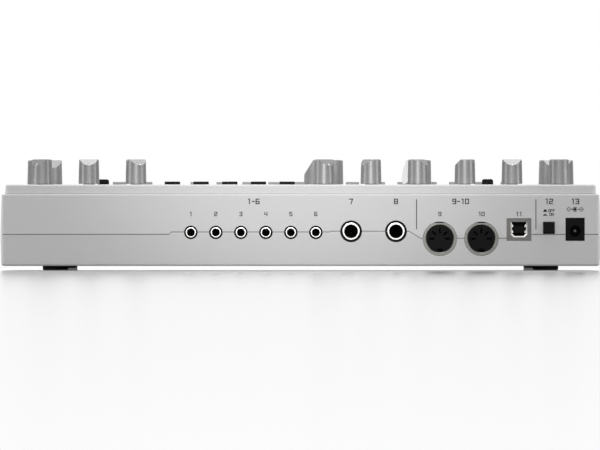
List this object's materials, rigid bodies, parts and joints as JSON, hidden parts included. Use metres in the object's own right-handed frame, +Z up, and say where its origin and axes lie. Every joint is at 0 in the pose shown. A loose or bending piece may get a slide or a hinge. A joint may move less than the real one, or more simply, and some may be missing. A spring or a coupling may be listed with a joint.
{
  "type": "drum machine",
  "caption": "Table-top drum machine: two-shell case with raised deck, level knobs, step keys, and a rear panel of jacks, round data sockets, USB, power button and DC inlet.",
  "frame": {"origin": "middle of the part's box, on the surface that the feet stand on", "axes": "+X to the player's right, +Y towards the rear panel, +Z up"},
  "size_m": [0.305, 0.1666, 0.0565],
  "materials": {
    "case_plastic": "fine-textured silver-grey paint",
    "foot_rubber": "matt",
    "screw_steel": "black zinc",
    "board_laminate": "solder mask",
    "component_black": "moulded",
    "socket_black": "moulded",
    "bushing_nickel": "bright nickel",
    "shield_steel": "satin nickel",
    "shell_tin": "tinned",
    "pot_steel": "plated",
    "led_red": "tinted clear",
    "knob_grey": "satin",
    "key_grey": "satin",
    "key_black": "satin",
    "print_ink": "screen-printed, matt",
    "mark_paint": "white paint fill",
    "label_film": "silver film, bare"
  },
  "bodies": {
    "root": {"top_case": "case_plastic", "bottom_case": "case_plastic", "rubber_feet": "foot_rubber", "case_screws": "screw_steel", "board_screws": "screw_steel", "main_board": "board_laminate", "board_components": "component_black", "jack_housings": "socket_black", "jack_bushings": "bushing_nickel", "din_shields": "shield_steel", "din_inserts": "socket_black", "usb_shell": "shell_tin", "usb_tongue": "socket_black", "power_switch_body": "socket_black", "dc_jack_housing": "socket_black", "dc_jack_pin": "bushing_nickel", "potentiometers": "pot_steel", "rotary_selectors": "pot_steel", "slide_switch_bodies": "pot_steel", "key_switches": "component_black", "leds": "led_red"},
    "level_knob_1": {"level_knob_1": "knob_grey"},
    "level_knob_2": {"level_knob_2": "knob_grey"},
    "level_knob_3": {"level_knob_3": "knob_grey"},
    "level_knob_4": {"level_knob_4": "knob_grey"},
    "level_knob_5": {"level_knob_5": "knob_grey"},
    "level_knob_6": {"level_knob_6": "knob_grey"},
    "level_knob_7": {"level_knob_7": "knob_grey"},
    "level_knob_8": {"level_knob_8": "knob_grey"},
    "level_knob_9": {"level_knob_9": "knob_grey"},
    "tempo_knob": {"tempo_knob": "knob_grey"},
    "volume_knob": {"volume_knob": "knob_grey"},
    "mode_knob": {"mode_knob": "knob_grey"},
    "voice_knob": {"voice_knob": "knob_grey"},
    "step_key_01": {"step_key_01": "key_grey"},
    "step_key_02": {"step_key_02": "key_grey"},
    "step_key_03": {"step_key_03": "key_grey"},
    "step_key_04": {"step_key_04": "key_grey"},
    "step_key_05": {"step_key_05": "key_grey"},
    "step_key_06": {"step_key_06": "key_grey"},
    "step_key_07": {"step_key_07": "key_grey"},
    "step_key_08": {"step_key_08": "key_grey"},
    "step_key_09": {"step_key_09": "key_grey"},
    "step_key_10": {"step_key_10": "key_grey"},
    "step_key_11": {"step_key_11": "key_grey"},
    "step_key_12": {"step_key_12": "key_grey"},
    "step_key_13": {"step_key_13": "key_grey"},
    "step_key_14": {"step_key_14": "key_grey"},
    "step_key_15": {"step_key_15": "key_grey"},
    "step_key_16": {"step_key_16": "key_grey"},
    "function_key_1": {"function_key_1": "key_black"},
    "function_key_2": {"function_key_2": "key_black"},
    "function_key_3": {"function_key_3": "key_black"},
    "function_key_4": {"function_key_4": "key_black"},
    "function_key_5": {"function_key_5": "key_black"},
    "run_key": {"run_key": "key_grey"},
    "tap_key": {"tap_key": "key_grey"},
    "pattern_switch_cap": {"pattern_switch_cap": "key_black"},
    "level_switch_cap": {"level_switch_cap": "key_black"},
    "power_button": {"power_button": "key_black"}
  },
  "joints": [
    {"name": "level_knob_1_turn", "type": "hinge", "parent": "root", "child": "level_knob_1", "pos_m": [0.1324, 0.0577, 0.05], "axis": [0, 0, 1], "range_deg": [-117, 183]},
    {"name": "level_knob_2_turn", "type": "hinge", "parent": "root", "child": "level_knob_2", "pos_m": [0.10833, 0.0577, 0.05], "axis": [0, 0, 1], "range_deg": [-150, 150]},
    {"name": "level_knob_3_turn", "type": "hinge", "parent": "root", "child": "level_knob_3", "pos_m": [0.08425, 0.0577, 0.05], "axis": [0, 0, 1], "range_deg": [-176, 124]},
    {"name": "level_knob_4_turn", "type": "hinge", "parent": "root", "child": "level_knob_4", "pos_m": [-0.01204, 0.0577, 0.05], "axis": [0, 0, 1], "range_deg": [-183, 117]},
    {"name": "level_knob_5_turn", "type": "hinge", "parent": "root", "child": "level_knob_5", "pos_m": [-0.03611, 0.0577, 0.05], "axis": [0, 0, 1], "range_deg": [-89, 211]},
    {"name": "level_knob_6_turn", "type": "hinge", "parent": "root", "child": "level_knob_6", "pos_m": [-0.06018, 0.0577, 0.05], "axis": [0, 0, 1], "range_deg": [-218, 82]},
    {"name": "level_knob_7_turn", "type": "hinge", "parent": "root", "child": "level_knob_7", "pos_m": [-0.08425, 0.0577, 0.05], "axis": [0, 0, 1], "range_deg": [-57, 243]},
    {"name": "level_knob_8_turn", "type": "hinge", "parent": "root", "child": "level_knob_8", "pos_m": [-0.10833, 0.0577, 0.05], "axis": [0, 0, 1], "range_deg": [-150, 150]},
    {"name": "level_knob_9_turn", "type": "hinge", "parent": "root", "child": "level_knob_9", "pos_m": [-0.1324, 0.0577, 0.05], "axis": [0, 0, 1], "range_deg": [-300, 0]},
    {"name": "tempo_knob_turn", "type": "hinge", "parent": "root", "child": "tempo_knob", "pos_m": [-0.1326, 0.0217, 0.05], "axis": [0, 0, 1], "range_deg": [-155, 145]},
    {"name": "volume_knob_turn", "type": "hinge", "parent": "root", "child": "volume_knob", "pos_m": [0.1326, 0.0217, 0.05], "axis": [0, 0, 1], "range_deg": [-176, 124]},
    {"name": "mode_knob_turn", "type": "hinge", "parent": "root", "child": "mode_knob", "pos_m": [-0.06018, 0.0217, 0.05], "axis": [0, 0, 1], "range_deg": [0, 120]},
    {"name": "voice_knob_turn", "type": "hinge", "parent": "root", "child": "voice_knob", "pos_m": [-0.01204, 0.0217, 0.05], "axis": [0, 0, 1], "range_deg": [0, 180]},
    {"name": "step_key_01_press", "type": "slide", "parent": "root", "child": "step_key_01", "axis": [0, 0, -1], "range_m": [0, 0.0006], "stiffness_N_per_m": 1500},
    {"name": "step_key_02_press", "type": "slide", "parent": "root", "child": "step_key_02", "axis": [0, 0, -1], "range_m": [0, 0.0006], "stiffness_N_per_m": 1500},
    {"name": "step_key_03_press", "type": "slide", "parent": "root", "child": "step_key_03", "axis": [0, 0, -1], "range_m": [0, 0.0006], "stiffness_N_per_m": 1500},
    {"name": "step_key_04_press", "type": "slide", "parent": "root", "child": "step_key_04", "axis": [0, 0, -1], "range_m": [0, 0.0006], "stiffness_N_per_m": 1500},
    {"name": "step_key_05_press", "type": "slide", "parent": "root", "child": "step_key_05", "axis": [0, 0, -1], "range_m": [0, 0.0006], "stiffness_N_per_m": 1500},
    {"name": "step_key_06_press", "type": "slide", "parent": "root", "child": "step_key_06", "axis": [0, 0, -1], "range_m": [0, 0.0006], "stiffness_N_per_m": 1500},
    {"name": "step_key_07_press", "type": "slide", "parent": "root", "child": "step_key_07", "axis": [0, 0, -1], "range_m": [0, 0.0006], "stiffness_N_per_m": 1500},
    {"name": "step_key_08_press", "type": "slide", "parent": "root", "child": "step_key_08", "axis": [0, 0, -1], "range_m": [0, 0.0006], "stiffness_N_per_m": 1500},
    {"name": "step_key_09_press", "type": "slide", "parent": "root", "child": "step_key_09", "axis": [0, 0, -1], "range_m": [0, 0.0006], "stiffness_N_per_m": 1500},
    {"name": "step_key_10_press", "type": "slide", "parent": "root", "child": "step_key_10", "axis": [0, 0, -1], "range_m": [0, 0.0006], "stiffness_N_per_m": 1500},
    {"name": "step_key_11_press", "type": "slide", "parent": "root", "child": "step_key_11", "axis": [0, 0, -1], "range_m": [0, 0.0006], "stiffness_N_per_m": 1500},
    {"name": "step_key_12_press", "type": "slide", "parent": "root", "child": "step_key_12", "axis": [0, 0, -1], "range_m": [0, 0.0006], "stiffness_N_per_m": 1500},
    {"name": "step_key_13_press", "type": "slide", "parent": "root", "child": "step_key_13", "axis": [0, 0, -1], "range_m": [0, 0.0006], "stiffness_N_per_m": 1500},
    {"name": "step_key_14_press", "type": "slide", "parent": "root", "child": "step_key_14", "axis": [0, 0, -1], "range_m": [0, 0.0006], "stiffness_N_per_m": 1500},
    {"name": "step_key_15_press", "type": "slide", "parent": "root", "child": "step_key_15", "axis": [0, 0, -1], "range_m": [0, 0.0006], "stiffness_N_per_m": 1500},
    {"name": "step_key_16_press", "type": "slide", "parent": "root", "child": "step_key_16", "axis": [0, 0, -1], "range_m": [0, 0.0006], "stiffness_N_per_m": 1500},
    {"name": "function_key_1_press", "type": "slide", "parent": "root", "child": "function_key_1", "axis": [0, 0, -1], "range_m": [0, 0.0006], "stiffness_N_per_m": 1500},
    {"name": "function_key_2_press", "type": "slide", "parent": "root", "child": "function_key_2", "axis": [0, 0, -1], "range_m": [0, 0.0006], "stiffness_N_per_m": 1500},
    {"name": "function_key_3_press", "type": "slide", "parent": "root", "child": "function_key_3", "axis": [0, 0, -1], "range_m": [0, 0.0006], "stiffness_N_per_m": 1500},
    {"name": "function_key_4_press", "type": "slide", "parent": "root", "child": "function_key_4", "axis": [0, 0, -1], "range_m": [0, 0.0006], "stiffness_N_per_m": 1500},
    {"name": "function_key_5_press", "type": "slide", "parent": "root", "child": "function_key_5", "axis": [0, 0, -1], "range_m": [0, 0.0006], "stiffness_N_per_m": 1500},
    {"name": "run_key_press", "type": "slide", "parent": "root", "child": "run_key", "axis": [0, 0, -1], "range_m": [0, 0.0006], "stiffness_N_per_m": 1500},
    {"name": "tap_key_press", "type": "slide", "parent": "root", "child": "tap_key", "axis": [0, 0, -1], "range_m": [0, 0.0006], "stiffness_N_per_m": 1500},
    {"name": "pattern_switch_cap_slide", "type": "slide", "parent": "root", "child": "pattern_switch_cap", "axis": [1, 0, 0], "range_m": [0, 0.003]},
    {"name": "level_switch_cap_slide", "type": "slide", "parent": "root", "child": "level_switch_cap", "axis": [-1, 0, 0], "range_m": [0, 0.003]},
    {"name": "power_button_press", "type": "slide", "parent": "root", "child": "power_button", "axis": [0, -1, 0], "range_m": [0, 0.0022], "stiffness_N_per_m": 800}
  ]
}
